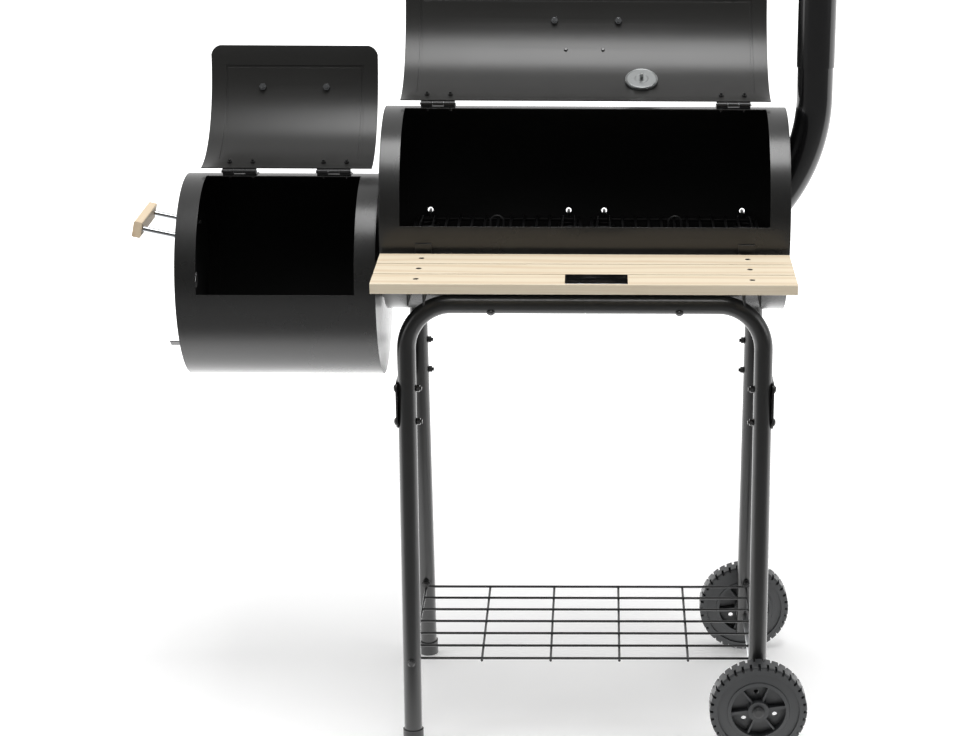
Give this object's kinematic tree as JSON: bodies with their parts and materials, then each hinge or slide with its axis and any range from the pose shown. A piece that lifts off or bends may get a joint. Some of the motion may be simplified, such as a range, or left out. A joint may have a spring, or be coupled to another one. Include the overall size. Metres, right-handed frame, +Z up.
{
  "type": "offset smoker",
  "caption": "Barrel smoker with a lower side firebox, hinged lids, elbow chimney, wooden front shelf, wire grates and a tube stand with wheels.",
  "frame": {"origin": "middle of the whole object's box, on the surface that it stands on", "axes": "+X along the barrels towards the chimney and wheels, +Y from the shelf to the back, +Z up"},
  "size_m": [1.052, 0.5506, 1.2498],
  "materials": {
    "barrel_paint": "satin high-heat paint",
    "lid_paint": "satin high-heat paint",
    "chimney_paint": "gloss high-heat enamel",
    "frame_paint": "satin powder coat",
    "hinge_steel": "black oxide",
    "bolt_steel": "black zinc",
    "pin_steel": "drawn steel",
    "chrome": "polished",
    "grate_wire": "baked enamel",
    "rack_wire": "satin powder coat",
    "grip_wood": "oiled pine",
    "slat_wood": "planed pine",
    "plate_steel": "polished plate",
    "dial_face": "printed enamel",
    "needle_red": "matt",
    "gauge_glass": "clear",
    "gauge_steel": "polished",
    "wheel_plastic": "moulded",
    "cap_plastic": "moulded"
  },
  "bodies": {
    "smoker": {"main_barrel": "barrel_paint", "main_left_cap": "barrel_paint", "main_right_cap": "barrel_paint", "firebox_barrel": "barrel_paint", "firebox_left_cap": "barrel_paint", "firebox_right_cap": "barrel_paint", "throat_spacer": "barrel_paint", "barrel_bolts": "bolt_steel", "fixed_hinge_leaves": "hinge_steel", "hinge_pins": "pin_steel", "fixed_hinge_screws": "bolt_steel", "side_handle_grip": "grip_wood", "side_handle_rods": "chrome", "chimney_flange": "chimney_paint", "chimney_elbow": "chimney_paint", "chimney_pipe": "chimney_paint", "grate_hooks": "grate_wire", "shelf_slat_back": "slat_wood", "shelf_slat_middle": "slat_wood", "shelf_slat_front": "slat_wood", "shelf_bracket_left": "frame_paint", "shelf_bracket_right": "frame_paint", "shelf_screws": "bolt_steel", "shelf_plate": "plate_steel", "front_leg_left": "frame_paint", "front_leg_right": "frame_paint", "rear_leg_left": "frame_paint", "rear_leg_right": "frame_paint", "frame_joiners": "frame_paint", "side_straps": "frame_paint", "stand_bolts": "bolt_steel", "tube_end_caps": "cap_plastic", "bottom_rack": "rack_wire", "axle": "pin_steel", "axle_nuts": "cap_plastic"},
    "main_lid": {"main_lid": "lid_paint", "main_lid_hinge_leaves": "hinge_steel", "main_lid_screws": "bolt_steel", "main_lid_grip": "grip_wood", "main_lid_rods": "chrome", "main_lid_plate": "plate_steel", "thermometer_case": "gauge_steel", "thermometer_dial": "dial_face", "thermometer_glass": "gauge_glass", "thermometer_back": "gauge_steel"},
    "firebox_lid": {"firebox_lid": "lid_paint", "firebox_lid_hinge_leaves": "hinge_steel", "firebox_lid_screws": "bolt_steel", "firebox_lid_grip": "grip_wood", "firebox_lid_rods": "chrome"},
    "thermometer_needle": {"thermometer_needle": "needle_red"},
    "front_wheel": {"wheel_front": "wheel_plastic"},
    "rear_wheel": {"wheel_rear": "wheel_plastic"},
    "vent_disc": {"vent_disc": "barrel_paint"},
    "chimney_cap": {"chimney_cap": "chimney_paint"},
    "cooking_grate_left": {"cooking_grate_left": "grate_wire"},
    "cooking_grate_right": {"cooking_grate_right": "grate_wire"},
    "charcoal_grate": {"charcoal_grate": "grate_wire"},
    "firebox_grate": {"firebox_grate": "grate_wire"}
  },
  "joints": [
    {"name": "thermometer_needle_turn", "type": "hinge", "parent": "main_lid", "child": "thermometer_needle", "pos_m": [0.23568, 0.11666, 0.98943], "axis": [0, 0.4462, -0.8949], "range_deg": [0, 240]},
    {"name": "main_lid_hinge", "type": "hinge", "parent": "smoker", "child": "main_lid", "pos_m": [0.15168, 0.05117, 0.973], "axis": [1, 0, 0], "range_deg": [0, 178]},
    {"name": "firebox_lid_hinge", "type": "hinge", "parent": "smoker", "child": "firebox_lid", "pos_m": [-0.29932, 0.05117, 0.8685], "axis": [1, 0, 0], "range_deg": [0, 178]},
    {"name": "front_wheel_spin", "type": "hinge", "parent": "smoker", "child": "front_wheel", "pos_m": [0.41868, -0.149, 0.075], "axis": [0, 1, 0], "continuous": true},
    {"name": "rear_wheel_spin", "type": "hinge", "parent": "smoker", "child": "rear_wheel", "pos_m": [0.41868, 0.25135, 0.075], "axis": [0, 1, 0], "continuous": true},
    {"name": "vent_turn", "type": "hinge", "parent": "smoker", "child": "vent_disc", "pos_m": [-0.45032, 0.05117, 0.6645], "axis": [1, 0, 0], "range_deg": [0, 45]},
    {"name": "chimney_cap_turn", "type": "hinge", "parent": "smoker", "child": "chimney_cap", "pos_m": [0.49368, 0.09067, 1.238], "axis": [0, 0, 1], "range_deg": [0, 110]},
    {"name": "cooking_grate_left_lift", "type": "slide", "parent": "smoker", "child": "cooking_grate_left", "axis": [0, 0, 1], "range_m": [0, 0.09]},
    {"name": "cooking_grate_right_lift", "type": "slide", "parent": "smoker", "child": "cooking_grate_right", "axis": [0, 0, 1], "range_m": [0, 0.09]},
    {"name": "charcoal_grate_lift", "type": "slide", "parent": "smoker", "child": "charcoal_grate", "axis": [0, 0, 1], "range_m": [0, 0.03]},
    {"name": "firebox_grate_lift", "type": "slide", "parent": "smoker", "child": "firebox_grate", "axis": [0, 0, 1], "range_m": [0, 0.1]}
  ]
}
